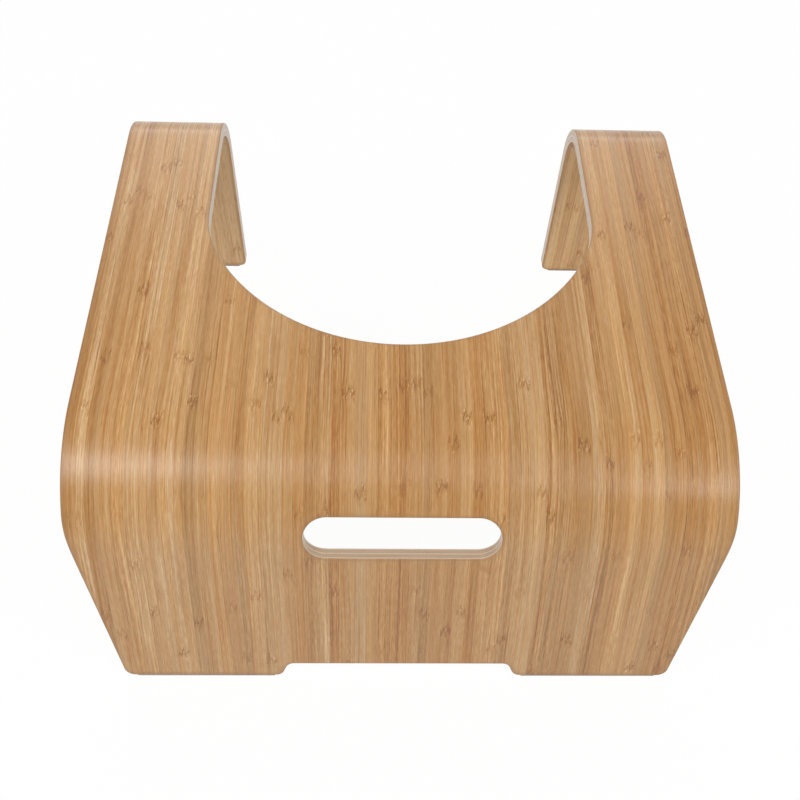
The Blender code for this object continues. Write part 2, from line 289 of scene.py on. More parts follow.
class Wiring:
    """Places the nodes of one tree and joins their sockets."""

    def __init__(self, tree):
        self.tree = tree

    def add(self, kind, feeds=None, **settings):
        """A new node with these settings, its inputs fed by values or by other nodes' sockets."""
        node = self.tree.nodes.new(kind)
        for name, value in settings.items():
            setattr(node, name, value)
        for name, value in (feeds or {}).items():
            self.feed(node.inputs[name], value)
        return node

    def feed(self, socket, value):
        if isinstance(value, bpy.types.NodeSocket):
            self.tree.links.new(value, socket)
        else:
            socket.default_value = value

    def math(self, operation, *values, clamp=False):
        node = self.add("ShaderNodeMath", operation=operation, use_clamp=clamp)
        for socket, value in zip(node.inputs, values):
            self.feed(socket, value)
        return node.outputs[0]

    def remap(self, value, low, high, to_low=0.0, to_high=1.0, smooth=False):
        """The value carried from one range to another, held at the ends of the second."""
        node = self.add(
            "ShaderNodeMapRange",
            {"From Min": low, "From Max": high, "To Min": to_low, "To Max": to_high},
            interpolation_type="SMOOTHSTEP" if smooth else "LINEAR",
        )
        self.feed(node.inputs["Value"], value)
        return node.outputs["Result"]

    def vector(self, x=0.0, y=0.0, z=0.0):
        return self.add("ShaderNodeCombineXYZ", {"X": x, "Y": y, "Z": z}).outputs[0]

    def parts(self, vector):
        return self.add("ShaderNodeSeparateXYZ", {"Vector": vector}).outputs

    def split(self, colour):
        """The three values of a colour."""
        return self.add("ShaderNodeSeparateColor", {"Color": colour}).outputs

    def mix(self, factor, first, second, blend="MIX"):
        """Two colours mixed by a factor."""
        node = self.add("ShaderNodeMix", data_type="RGBA", blend_type=blend)
        for socket, value in zip((node.inputs[0], node.inputs[6], node.inputs[7]), (factor, first, second)):
            self.feed(socket, value)
        return node.outputs[2]

    def noise(self, vector, scale=1.0, detail=2.0, roughness=0.5):
        feeds = {"Vector": vector, "Scale": scale, "Detail": detail, "Roughness": roughness}
        return self.add("ShaderNodeTexNoise", feeds).outputs["Fac"]

    def ramp(self, value, *stops):
        """A colour ramp over a value, from (position, colour) stops."""
        node = self.add("ShaderNodeValToRGB", {"Fac": value})
        elements = node.color_ramp.elements
        while len(elements) < len(stops):
            elements.new(0.5)
        for element, (position, colour) in zip(elements, stops):
            element.position = position
            element.color = (*colour, 1)
        return node.outputs["Color"]


def new_group(kind, name, inputs, outputs):
    """A node group with these (name, socket type, default) inputs and (name, socket type) outputs."""
    tree = bpy.data.node_groups.new(name, kind)
    for label, socket_type, *default in inputs:
        socket = tree.interface.new_socket(label, in_out="INPUT", socket_type=socket_type)
        if default:
            socket.default_value = default[0]
    for label, socket_type in outputs:
        tree.interface.new_socket(label, in_out="OUTPUT", socket_type=socket_type)
    wiring = Wiring(tree)
    entry = wiring.add("NodeGroupInput").outputs
    leave = wiring.add("NodeGroupOutput").inputs
    return tree, wiring, entry, leave


FLOAT, VECTOR, COLOUR = "NodeSocketFloat", "NodeSocketVector", "NodeSocketColor"
GEOMETRY, MATERIAL = "NodeSocketGeometry", "NodeSocketMaterial"


# Pressing the plies


def bend_group():
    """Bends the side view of a sheet down over a round former, from a line across it onwards."""
    tree, w, entry, leave = new_group(
        "GeometryNodeTree",
        "bend over a former",
        [("Along", FLOAT), ("Out", FLOAT), ("Start", FLOAT), ("Radius", FLOAT), ("Turn", FLOAT)],
        [("Along", FLOAT), ("Out", FLOAT)],
    )
    past = w.math("SUBTRACT", entry["Along"], entry["Start"])
    turned = w.math("MAXIMUM", 0.0, w.math("MINIMUM", w.math("DIVIDE", past, entry["Radius"]), entry["Turn"]))
    before = w.math("MINIMUM", past, 0.0)
    bend_length = w.math("MULTIPLY", entry["Radius"], entry["Turn"])
    beyond = w.math("MAXIMUM", w.math("SUBTRACT", past, bend_length), 0.0)
    reach = w.math("ADD", entry["Radius"], entry["Out"])
    sine, cosine = w.math("SINE", turned), w.math("COSINE", turned)
    along = w.math("ADD", entry["Start"], before)
    along = w.math("MULTIPLY_ADD", reach, sine, along)
    along = w.math("MULTIPLY_ADD", beyond, cosine, along)
    out = w.math("MULTIPLY_ADD", reach, cosine, w.math("MULTIPLY", entry["Radius"], -1.0))
    out = w.math("SUBTRACT", out, w.math("MULTIPLY", beyond, sine))
    w.feed(leave["Along"], along)
    w.feed(leave["Out"], out)
    return tree


def press_tree():
    """Presses a flat blank into the stool's side view, and finishes its faces and cut edges."""
    tree, w, entry, leave = new_group(
        "GeometryNodeTree",
        "press a ply",
        [
            ("Blank", GEOMETRY),
            ("Front panel length", FLOAT),
            ("Front lean", FLOAT),
            ("Front bend radius", FLOAT),
            ("Front bend turn", FLOAT),
            ("Tread length", FLOAT),
            ("Rear bend radius", FLOAT),
            ("Rear bend turn", FLOAT),
            ("Foot front", FLOAT),
            ("Foot level", FLOAT),
            ("Face finish", MATERIAL),
            ("Edge finish", MATERIAL),
        ],
        [("Ply", GEOMETRY)],
    )
    bend = bend_group()
    place = w.add("GeometryNodeInputPosition").outputs[0]
    kept = w.add(
        "GeometryNodeStoreNamedAttribute",
        {"Geometry": entry["Blank"], "Name": "sheet"},
        data_type="FLOAT_VECTOR",
        domain="POINT",
    )
    w.feed(kept.inputs["Value"], place)
    steepness = w.math("ABSOLUTE", w.parts(w.add("GeometryNodeInputNormal").outputs[0])["Z"])
    edge = w.add("FunctionNodeCompare", data_type="FLOAT", operation="LESS_THAN")
    w.feed(edge.inputs[0], steepness)
    w.feed(edge.inputs[1], CUT_EDGE_SHARE)
    marked = w.add(
        "GeometryNodeStoreNamedAttribute",
        {"Geometry": kept.outputs[0], "Name": "cut_edge"},
        data_type="BOOLEAN",
        domain="FACE",
    )
    w.feed(marked.inputs["Value"], edge.outputs[0])

    across, along, out = w.parts(place)
    # Towards the front foot the cut turns level, so that the foot stands flat on the floor.
    levelling = w.math("DIVIDE", along, entry["Front panel length"])
    levelling = w.math("SUBTRACT", 1.0, levelling, clamp=True)
    levelling = w.math("MULTIPLY", levelling, w.math("TANGENT", entry["Front lean"]))
    along = w.math("SUBTRACT", along, w.math("MULTIPLY", out, levelling))
    front_bend_length = w.math("MULTIPLY", entry["Front bend radius"], entry["Front bend turn"])
    tread_start = w.math("ADD", entry["Front panel length"], front_bend_length)
    tread_end = w.math("ADD", tread_start, entry["Tread length"])
    bends = (
        (tread_end, entry["Rear bend radius"], entry["Rear bend turn"]),
        (entry["Front panel length"], entry["Front bend radius"], entry["Front bend turn"]),
    )
    for start, radius, turn in bends:
        feeds = {"Along": along, "Out": out, "Start": start, "Radius": radius, "Turn": turn}
        bent = w.add("GeometryNodeGroup", node_tree=bend)
        for name, value in feeds.items():
            w.feed(bent.inputs[name], value)
        along, out = bent.outputs
    rise = w.math("SUBTRACT", UPRIGHT, entry["Front lean"])
    sine, cosine = w.math("SINE", rise), w.math("COSINE", rise)
    back = w.math("SUBTRACT", w.math("MULTIPLY", along, cosine), w.math("MULTIPLY", out, sine))
    up = w.math("ADD", w.math("MULTIPLY", along, sine), w.math("MULTIPLY", out, cosine))
    pressed = w.vector(
        across,
        w.math("ADD", back, entry["Foot front"]),
        w.math("ADD", up, entry["Foot level"]),
    )
    pressing = w.add("GeometryNodeSetPosition", {"Geometry": marked.outputs[0], "Position": pressed})
    realised = w.add("GeometryNodeRealizeInstances", {"Geometry": pressing.outputs[0]})
    face = w.add(
        "GeometryNodeSetMaterial",
        {"Geometry": realised.outputs[0], "Material": entry["Face finish"]},
    )
    is_edge = w.add("GeometryNodeInputNamedAttribute", {"Name": "cut_edge"}, data_type="BOOLEAN")
    edges = w.add(
        "GeometryNodeSetMaterial",
        {"Geometry": face.outputs[0], "Selection": is_edge.outputs[0], "Material": entry["Edge finish"]},
    )
    w.feed(leave["Ply"], edges.outputs[0])
    return tree


def strip_tree():
    """A flat strip with rounded corners, centred under a foot and standing on the floor."""
    tree, w, entry, leave = new_group(
        "GeometryNodeTree",
        "cut a foot strip",
        [
            ("Blank", GEOMETRY),
            ("Length", FLOAT),
            ("Width", FLOAT),
            ("Thickness", FLOAT),
            ("Corner radius", FLOAT),
            ("Middle", VECTOR),
            ("Finish", MATERIAL),
        ],
        [("Strip", GEOMETRY)],
    )
    outline = w.add(
        "GeometryNodeCurvePrimitiveQuadrilateral",
        {"Width": entry["Length"], "Height": entry["Width"]},
    )
    corners = w.add("GeometryNodeFilletCurve", mode="POLY")
    corners.inputs["Count"].default_value = STRIP_CORNER_POINTS
    w.feed(corners.inputs["Curve"], outline.outputs[0])
    w.feed(corners.inputs["Radius"], entry["Corner radius"])
    filled = w.add("GeometryNodeFillCurve", mode="NGONS")
    w.feed(filled.inputs["Curve"], corners.outputs[0])
    raised = w.add("GeometryNodeExtrudeMesh", {"Individual": False})
    w.feed(raised.inputs["Mesh"], filled.outputs[0])
    w.feed(raised.inputs["Offset"], w.vector(0.0, 0.0, 1.0))
    w.feed(raised.inputs["Offset Scale"], entry["Thickness"])
    base = w.add("GeometryNodeFlipFaces", {"Mesh": filled.outputs[0]})
    joined = w.add("GeometryNodeJoinGeometry")
    w.feed(joined.inputs[0], base.outputs[0])
    w.feed(joined.inputs[0], raised.outputs[0])
    welded = w.add("GeometryNodeMergeByDistance", {"Geometry": joined.outputs[0], "Distance": WELD_DISTANCE})
    placed = w.add("GeometryNodeTransform", {"Geometry": welded.outputs[0], "Translation": entry["Middle"]})
    realised = w.add("GeometryNodeRealizeInstances", {"Geometry": placed.outputs[0]})
    finished = w.add(
        "GeometryNodeSetMaterial",
        {"Geometry": realised.outputs[0], "Material": entry["Finish"]},
    )
    w.feed(leave["Strip"], finished.outputs[0])
    return tree


def made_by(tree, name, mesh, values, finishing=()):
    """A plain mesh object of what a tree makes of a mesh with these values for its inputs."""
    blank = bpy.data.objects.new(name, mesh)
    bpy.context.scene.collection.objects.link(blank)
    making = blank.modifiers.new("making", "NODES")
    making.node_group = tree
    for item in tree.interface.items_tree:
        if item.in_out == "INPUT" and item.name in values:
            making[item.identifier] = values[item.name]
    for kind, settings in finishing:
        modifier = blank.modifiers.new(kind.lower(), kind)
        for label, value in settings.items():
            setattr(modifier, label, value)
    graph = bpy.context.evaluated_depsgraph_get()
    made = bpy.data.meshes.new_from_object(blank.evaluated_get(graph), depsgraph=graph)
    bpy.data.objects.remove(blank)
    bpy.data.meshes.remove(mesh)
    made.name = name
    piece = bpy.data.objects.new(name, made)
    bpy.context.scene.collection.objects.link(piece)
    return piece


# Flat blanks


def compass(angle):
    return Vector((math.cos(angle), math.sin(angle)))


def arc_points(centre, radius, start, end):
    """The points of an arc on the flat, from one angle to another, both ends among them."""
    step = 2 * math.acos(1 - OUTLINE_SAG / radius)
    steps = max(1, math.ceil(abs(end - start) / step))
    return [centre + radius * compass(start + (end - start) * n / steps) for n in range(steps + 1)]


def corner_setback(before, corner, after, radius):
    """How far from a corner its rounding starts, on each of the two edges that meet there."""
    turn = (corner - before).angle(after - corner)
    return radius * math.tan(turn / 2)


def rounded_corner(before, corner, after, radius):
    """The points of the arc that rounds a corner between two straight edges."""
    arriving, leaving = (corner - before).normalized(), (after - corner).normalized()
    turn = -arriving.angle_signed(leaving)
    side = Vector((-arriving.y, arriving.x)) * math.copysign(1, turn)
    setback = corner_setback(before, corner, after, radius)
    centre = corner - arriving * setback + side * radius
    start = math.atan2(-side.y, -side.x)
    return arc_points(centre, radius, start, start + turn)


def recess_edge():
    """The recess from its foremost point to its straight side, for the half at positive X."""
    blend_reach = RECESS_HALF_WIDTH - RECESS_BLEND_RADIUS
    arc_radius = RECESS_BLEND_RADIUS + blend_reach / math.cos(RECESS_BLEND_TURN)
    arc_centre = Vector((0, TREAD_START + RECESS_SETBACK + arc_radius))
    blend_centre = arc_centre + Vector((blend_reach, -blend_reach * math.tan(RECESS_BLEND_TURN)))
    arc = arc_points(arc_centre, arc_radius, -UPRIGHT, -RECESS_BLEND_TURN)
    blend = arc_points(blend_centre, RECESS_BLEND_RADIUS, -RECESS_BLEND_TURN, 0)
    return arc + blend[1:]


def half_corners():
    """The corners of the blank at positive X, from the middle of the relief to the recess."""
    relief_run = RELIEF_HEIGHT / math.tan(RELIEF_SLOPE)
    return [
        (Vector((0, RELIEF_HEIGHT)), None),
        (Vector((RELIEF_HALF_WIDTH - relief_run, RELIEF_HEIGHT)), RELIEF_CORNER_RADIUS),
        (Vector((RELIEF_HALF_WIDTH, 0)), RELIEF_CORNER_RADIUS),
        (Vector((FOOT_HALF_WIDTH, 0)), FOOT_CORNER_RADIUS),
        (Vector((HALF_WIDTH, TAPER_HEIGHT)), TAPER_BLEND_RADIUS),
        (Vector((HALF_WIDTH, SHEET_LENGTH - TAPER_HEIGHT)), TAPER_BLEND_RADIUS),
        (Vector((FOOT_HALF_WIDTH, SHEET_LENGTH)), FOOT_CORNER_RADIUS),
        (Vector((RECESS_HALF_WIDTH, SHEET_LENGTH)), LEG_CORNER_RADIUS),
        (recess_edge()[-1], None),
    ]


def sheet_outline():
    """The whole flat outline, anticlockwise."""
    corners = half_corners()
    half = []
    for (before, _), (corner, radius), (after, _) in zip(corners, corners[1:], corners[2:]):
        half += rounded_corner(before, corner, after, radius)
    half += reversed(recess_edge())
    return half + [Vector((-point.x, point.y)) for point in reversed(half[:-1])]


def slot_outline():
    """The hand slot's flat outline, clockwise, with half-round ends."""
    radius = SLOT_HEIGHT / 2
    reach = SLOT_LENGTH / 2 - radius
    rise = FRONT_PANEL_LENGTH + SLOT_RISE
    right = arc_points(Vector((reach, rise)), radius, -UPRIGHT, UPRIGHT)
    left = arc_points(Vector((-reach, rise)), radius, UPRIGHT, 3 * UPRIGHT)
    return list(reversed(right + left))


def drawn_in(outline, inset):
    """An outline moved into the sheet, which lies on the left of it, by this much."""
    moved = []
    for number, point in enumerate(outline):
        arriving = (point - outline[number - 1]).normalized()
        leaving = (outline[(number + 1) % len(outline)] - point).normalized()
        half_turn = (arriving + leaving).normalized()
        normal = Vector((-half_turn.y, half_turn.x))
        mitre = normal.dot(Vector((-arriving.y, arriving.x)))
        moved.append(point + normal * inset / max(LEAST_MITRE_SHARE, mitre))
    return moved


def rim_rings(number):
    """A ply's wall from its inner face up to its outer one, as (inset, height, rim darkening) rings, the rim
    darkening being painted shade with some edge wear.

    The outermost ply has its outer rim rounded and the innermost one its inner rim.
    """
    top = -number * PLY_THICKNESS
    bottom = top - PLY_THICKNESS
    rings = [(0.0, bottom, 1.0), (0.0, top, 1.0)]
    steps = [UPRIGHT * n / ARRIS_SEGMENTS for n in range(ARRIS_SEGMENTS + 1)]
    rounding = [(ARRIS_RADIUS * (1 - math.cos(a)), ARRIS_RADIUS * (1 - math.sin(a))) for a in steps]
    if number == 0:
        rings[1:] = [(inset, top - drop, 1.0) for inset, drop in rounding]
        rings.append((RIM_SHADE_AND_WEAR_REACH, top, 0.0))
    if number == len(PLIES) - 1:
        rings[:1] = [(inset, bottom + drop, 1.0) for inset, drop in reversed(rounding)]
        rings.insert(0, (RIM_SHADE_AND_WEAR_REACH, bottom, 0.0))
    return rings


def bend_lines():
    """The distances along the sheet at which it is cut into narrow flats to bend."""
    lines = []
    bends = (
        (FRONT_PANEL_LENGTH, FRONT_BEND_RADIUS, FRONT_BEND_TURN),
        (TREAD_END, REAR_BEND_RADIUS, REAR_BEND_TURN),
    )
    for start, radius, turn in bends:
        steps = math.ceil(turn / BEND_STEP)
        lines += [start + radius * turn * n / steps for n in range(steps + 1)]
    return lines


def blank_mesh(number):
    """A ply's flat blank, closed, with its bend lines cut and a face ply's rim rounded."""
    outlines = [sheet_outline(), slot_outline()]
    blank = bmesh.new()
    rim_shade_and_wear = blank.verts.layers.float.new("rim_shade_and_wear")
    levels = []
    for inset, height, rim_shade_and_wear_share in rim_rings(number):
        loops = []
        for outline in outlines:
            verts = [blank.verts.new((p.x, p.y, height)) for p in drawn_in(outline, inset)]
            for vert in verts:
                vert[rim_shade_and_wear] = rim_shade_and_wear_share
            loops.append(verts)
        levels.append(loops)
    for lower, upper in zip(levels, levels[1:]):
        for low, high in zip(lower, upper):
            for n in range(len(low)):
                blank.faces.new((low[n - 1], low[n], high[n], high[n - 1]))
    for edge in blank.edges:
        edge.seam = edge.verts[0][rim_shade_and_wear] == edge.verts[1][rim_shade_and_wear]
    for loops in (levels[0], levels[-1]):
        flat = [vert for loop in loops for vert in loop]
        for corners in tessellate_polygon([[vert.co.copy() for vert in loop] for loop in loops]):
            blank.faces.new([flat[corner] for corner in corners])
    for line in bend_lines():
        cut = bmesh.ops.bisect_plane(
            blank,
            geom=[*blank.verts, *blank.edges, *blank.faces],
            dist=WELD_DISTANCE,
            plane_co=(0, line, 0),
            plane_no=(0, 1, 0),
        )
        for edge in cut["geom_cut"]:
            if isinstance(edge, bmesh.types.BMEdge):
                edge.seam = True
    bmesh.ops.recalc_face_normals(blank, faces=blank.faces)
    flats = [edge for edge in blank.edges if abs(edge.verts[0].co.z - edge.verts[1].co.z) < WELD_DISTANCE]
    bmesh.ops.dissolve_limit(blank, angle_limit=FLAT_ANGLE, verts=[], edges=flats, delimit={"SEAM"})
    mesh = bpy.data.meshes.new("blank")
    blank.to_mesh(mesh)
    blank.free()
    mesh.shade_smooth()
    mesh.set_sharp_from_angle(angle=SMOOTH_ANGLE)
    return mesh


# Finishes


def laths_group():
    """Edge-glued bamboo: laths that run up the sheet, with their fibres and knuckles.

    All that makes the wood darker or paler is summed into one tone, which then gives the colour.
    """
    tree, w, entry, leave = new_group(
        "ShaderNodeTree",
        "glued bamboo laths",
        [("Sheet", VECTOR), ("Lath width", FLOAT), ("Knuckle spacing", FLOAT), ("Tone", FLOAT)],
        [("Colour", COLOUR), ("Fibre", FLOAT), ("Knuckle", FLOAT)],
    )
    across, along, _ = w.parts(entry["Sheet"])
    lane = w.math("ADD", w.math("DIVIDE", across, entry["Lath width"]), FIRST_LATH)

    def centred(value):
        return w.math("SUBTRACT", value, 0.5)

    def cells(**settings):
        """The uneven cells along the lane, one for each lath."""
        feeds = {"W": lane, "Scale": 1.0, "Randomness": LATH_UNEVENNESS}
        return w.add("ShaderNodeTexVoronoi", feeds, voronoi_dimensions="1D", **settings).outputs

    # Three random values for each lath, and where a point lies in it
    laths = cells()
    lath, lath_hue, lath_phase = w.split(laths["Color"])
    lath_side = w.math("SUBTRACT", lane, laths["W"])
    border = w.remap(cells(feature="DISTANCE_TO_EDGE")["Distance"], *LATH_BORDER_SHARES, smooth=True)

    # One knuckle in each length of each lath, of random strength and place. Here and below, the large
    # factors on a lath's random value keep its pattern apart from its neighbours'.
    lengths = w.math("MULTIPLY_ADD", lath_phase, 9.0, w.math("DIVIDE", along, entry["Knuckle spacing"]))
    length = w.math("FLOOR", lengths)
    odds = w.add("ShaderNodeTexWhiteNoise", {"Vector": w.vector(lath, length, 0.0)}, noise_dimensions="2D")
    strength, nudge, shift = w.split(odds.outputs["Color"])
    strength = w.remap(strength, 0.0, 0.9, *KNUCKLE_STRENGTHS)
    middle = w.math("MULTIPLY_ADD", nudge, 0.7, 0.15)
    apart = w.math("SUBTRACT", w.math("SUBTRACT", lengths, length), middle)
    apart = w.math("MULTIPLY", apart, entry["Knuckle spacing"])
    waver_place = w.vector(w.math("MULTIPLY", across, 420.0), w.math("MULTIPLY", lath, 40.0), length)
    waver = centred(w.noise(waver_place))

    # Its marks: a row of steep strokes, a smudge round them and pale specks between
    teeth = w.math("MULTIPLY_ADD", across, TEETH_PER_METRE, w.math("MULTIPLY", shift, 7.0))
    teeth = w.math("PINGPONG", w.math("MULTIPLY_ADD", waver, 2.0, teeth), 0.5)
    teeth = w.math("SUBTRACT", teeth, 0.25)
    stroke_place = w.math("MULTIPLY_ADD", waver, STROKE_WAVER, apart)
    stroke_place = w.math("MULTIPLY_ADD", teeth, TOOTH_RISE, stroke_place)
    stroke = w.remap(w.math("ABSOLUTE", stroke_place), *STROKE_REACH, smooth=True)
    broken_place = w.vector(w.math("MULTIPLY", across, 900.0), w.math("MULTIPLY", along, 300.0), lath)
    broken = w.noise(broken_place, detail=1.0)
    stroke = w.math("MULTIPLY", stroke, w.remap(broken, 0.40, 0.56, 0.1, 1.0))
    smudge_place = w.math("MULTIPLY_ADD", waver, SMUDGE_WAVER, apart)
    smudge = w.remap(w.math("ABSOLUTE", smudge_place), *SMUDGE_REACH, smooth=True)
    within = w.remap(w.math("ABSOLUTE", lath_side), *KNUCKLE_SIDE_SHARES, smooth=True)
    held = w.math("MULTIPLY", within, strength)
    stroke = w.math("MULTIPLY", stroke, held)
    smudge = w.math("MULTIPLY", smudge, held)
    speck = w.math("MULTIPLY", smudge, w.remap(broken, 0.53, 0.62, smooth=True))

    # Fibres wander a little to the side as they run, and swerve round the knuckles
    wander_place = w.vector(
        w.math("MULTIPLY", across, 22.0),
        w.math("MULTIPLY", along, 10.0),
        w.math("MULTIPLY", lath, 50.0),
    )
    wander = centred(w.noise(wander_place, detail=1.0))
    swerve = w.math("MULTIPLY", w.remap(w.math("ABSOLUTE", apart), *SWERVE_REACH, smooth=True), waver)
    fibre_place = w.math("MULTIPLY_ADD", wander, FIBRE_WANDER, across)
    fibre_place = w.math("MULTIPLY_ADD", swerve, FIBRE_SWERVE, fibre_place)

    def bundles(width, run, offset):
        """Long narrow bundles with crisp sides: two random values from -0.5 to 0.5 for each."""
        place = w.vector(
            w.math("MULTIPLY_ADD", fibre_place, 1 / width, w.math("MULTIPLY_ADD", lath, 57.0, offset)),
            w.math("DIVIDE", along, run),
        )
        found = w.add("ShaderNodeTexVoronoi", {"Vector": place, "Scale": 1.0}, voronoi_dimensions="2D")
        values = w.split(found.outputs["Color"])
        return centred(values[0]), centred(values[1])

    def fibres(width, run, layer, detail=1.0):
        """Fibres of about this width and run, from -1 to 1, which start afresh in each lath."""
        place = w.vector(
            w.math("DIVIDE", fibre_place, width),
            w.math("DIVIDE", along, run),
            w.math("MULTIPLY_ADD", lath, 60.0, layer),
        )
        return w.math("MULTIPLY_ADD", w.noise(place, detail=detail), 2.0, -1.0)

    def weighed(values, total):
        """The total with each of these (value, weight) pairs added to it."""
        for value, weight in values:
            total = w.math("MULTIPLY_ADD", value, weight, total)
        return total

    bundle, bundle_hue = bundles(width=0.0030, run=0.300, offset=200.0)
    strand, strand_hue = bundles(width=0.0011, run=0.100, offset=300.0)
    fine_long = fibres(width=0.0008, run=0.060, layer=1.0)
    fine_short = fibres(width=0.0007, run=0.0080, layer=2.0)
    dark_lines = w.remap(fibres(width=0.0009, run=0.150, layer=5.0, detail=0.0), 0.24, 0.40, smooth=True)
    pale_lines = w.remap(fibres(width=0.0011, run=0.150, layer=6.0, detail=0.0), 0.26, 0.42, smooth=True)
    lines = (
        (strand, 2.1),
        (fine_long, 2.5),
        (fine_short, 2.5),
        (dark_lines, -2.0),
        (pale_lines, 1.2),
    )
    # Some laths are calm and some are full of lines
    busy = w.add("ShaderNodeTexWhiteNoise", {"W": lath}, noise_dimensions="1D").outputs["Value"]
    busy = w.remap(busy, 0.0, 1.0, *BUSYNESS)
    tones = (
        (centred(lath), 3.5),
        # A slope of tone across each lath, paler to one side, is painted shade, as if each lath were tilted
        # to the light
        (lath_side, 0.5),
        (w.math("MULTIPLY", border, centred(lath_phase)), 3.0),
        (bundle, 1.5),
        (fibres(width=0.0075, run=0.120, layer=3.0), 0.6),
        (fibres(width=0.0022, run=0.120, layer=4.0), 1.4),
        (w.math("MULTIPLY", weighed(lines, 0.0), busy), 1.0),
        (stroke, -6.4),
        (smudge, -1.8),
        (speck, 4.8),
    )
    tone = weighed(tones, entry["Tone"])
    wood = w.ramp(w.remap(tone, -TONE_REACH, TONE_REACH), *BAMBOO_COLOURS)

    # Laths, bundles and strands lean a little to red or to yellow
    hue = w.math("MULTIPLY_ADD", centred(lath_hue), 0.8, w.math("MULTIPLY", bundle_hue, 0.6))
    hue = w.math("MULTIPLY_ADD", strand_hue, 0.5, hue)
    red = w.math("MULTIPLY_ADD", hue, RED_LEAN, 1.0)
    blue = w.math("MULTIPLY_ADD", hue, BLUE_LEAN, 1.0)
    tint = w.vector(red, 1.0, blue)
    w.feed(leave["Colour"], w.mix(1.0, wood, tint, "MULTIPLY"))
    w.feed(leave["Fibre"], w.math("ADD", fine_long, fine_short))
    w.feed(leave["Knuckle"], stroke)
    return tree


def grain_group():
    """The grain of a cut edge, long fibres one way and their ends the other, and its glue lines."""
    tree, w, entry, leave = new_group(
        "ShaderNodeTree",
        "cut bamboo grain",
        [
            ("Sheet", VECTOR),
            ("Stretch", VECTOR),
            ("Ply thickness", FLOAT),
            ("Sheet thickness", FLOAT),
            ("Pale", COLOUR),
            ("Dark", COLOUR),
            ("Glue", COLOUR),
        ],
        [("Colour", COLOUR), ("Fibre", FLOAT)],
    )
    fibre_place = w.add(
        "ShaderNodeVectorMath",
        {0: entry["Sheet"], 1: entry["Stretch"]},
        operation="MULTIPLY",
    )
    fibres = w.noise(fibre_place.outputs[0], detail=3.0, roughness=0.6)
    wood = w.mix(w.remap(fibres, 0.35, 0.70), entry["Pale"], entry["Dark"])
    depth = w.math("MULTIPLY", w.parts(entry["Sheet"])["Z"], -1.0)
    ply_depth = w.math("DIVIDE", depth, entry["Ply thickness"])
    from_glue = w.math("PINGPONG", ply_depth, 0.5)
    from_face = w.math("MINIMUM", depth, w.math("SUBTRACT", entry["Sheet thickness"], depth))
    line = w.remap(from_glue, *GLUE_REACH_SHARES, smooth=True)
    glue = w.math("MULTIPLY", line, w.remap(from_face, *GLUE_FROM_FACE))
    w.feed(leave["Colour"], w.mix(glue, wood, entry["Glue"]))
    w.feed(leave["Fibre"], fibres)
    return tree


def new_finish(name):
    """A material with a bare Principled shader, and its wiring."""
    material = bpy.data.materials.new(name)
    material.use_nodes = True
    wiring = Wiring(material.node_tree)
    shader = material.node_tree.nodes["Principled BSDF"]
    return material, wiring, shader


def sheet_place(w):
    return w.add("ShaderNodeAttribute", attribute_type="GEOMETRY", attribute_name="sheet").outputs["Vector"]


def rim_shade_and_wear_share(w):
    return w.add("ShaderNodeAttribute", attribute_type="GEOMETRY", attribute_name="rim_shade_and_wear").outputs["Fac"]


def painted_sheen_and_light(w, place):
    """How far the colour is greyed: painted sheen low on the front panel and painted light from the rear
    bends on, in patches.
    """
    along = w.parts(place)["Y"]
    panel = w.remap(along, *PAINTED_SHEEN_PANEL, 0.0, PAINTED_SHEEN_PANEL_SHARE, smooth=True)
    rear = w.remap(along, *PAINTED_LIGHT_REAR, 0.0, PAINTED_LIGHT_REAR_SHARE, smooth=True)
    patches = w.remap(w.noise(place, scale=18.0), 0.3, 0.7, 0.8, 1.2)
    return w.math("MULTIPLY", w.math("ADD", panel, rear), patches)


def face_finish(name, laths, tone, with_painted_sheen_and_light):
    """Lacquered bamboo of this tone, darker along its rims with painted shade and some edge wear, and greyed
    by painted sheen and light in places or not.
    """
    material, w, shader = new_finish(name)
    wood = w.add("ShaderNodeGroup", node_tree=laths)
    place = sheet_place(w)
    w.feed(wood.inputs["Sheet"], place)
    wood.inputs["Lath width"].default_value = LATH_WIDTH
    wood.inputs["Knuckle spacing"].default_value = KNUCKLE_SPACING
    wood.inputs["Tone"].default_value = tone
    # Darker along the rims: painted shade of the rounded rims with some edge wear. The same mask roughens the
    # lacquer.
    rim_shade_and_wear_mask = w.math("MULTIPLY", rim_shade_and_wear_share(w), RIM_SHADE_AND_WEAR_STRENGTH)
    colour = w.mix(rim_shade_and_wear_mask, wood.outputs["Colour"], RIM_SHADE_AND_WEAR_COLOUR)
    # Greyer low on the panel as a painted sheen, and from the rear bends on as painted light
    if with_painted_sheen_and_light:
        colour = w.mix(painted_sheen_and_light(w, place), colour, PAINTED_SHEEN_AND_LIGHT_COLOUR)
    w.feed(shader.inputs["Base Color"], colour)
    rough = w.remap(wood.outputs["Fibre"], -0.6, 0.6, *LACQUER_ROUGHNESS)
    w.feed(shader.inputs["Roughness"], w.math("MULTIPLY_ADD", rim_shade_and_wear_mask, RUBBED_ROUGHENING, rough))
    height = w.math("SUBTRACT", wood.outputs["Fibre"], w.math("MULTIPLY", wood.outputs["Knuckle"], 0.6))
    bump = w.add("ShaderNodeBump", {"Height": height, "Strength": 0.25, "Distance": 0.00015})
    w.feed(shader.inputs["Normal"], bump.outputs["Normal"])
    shader.inputs["IOR"].default_value = 1.46
    return material


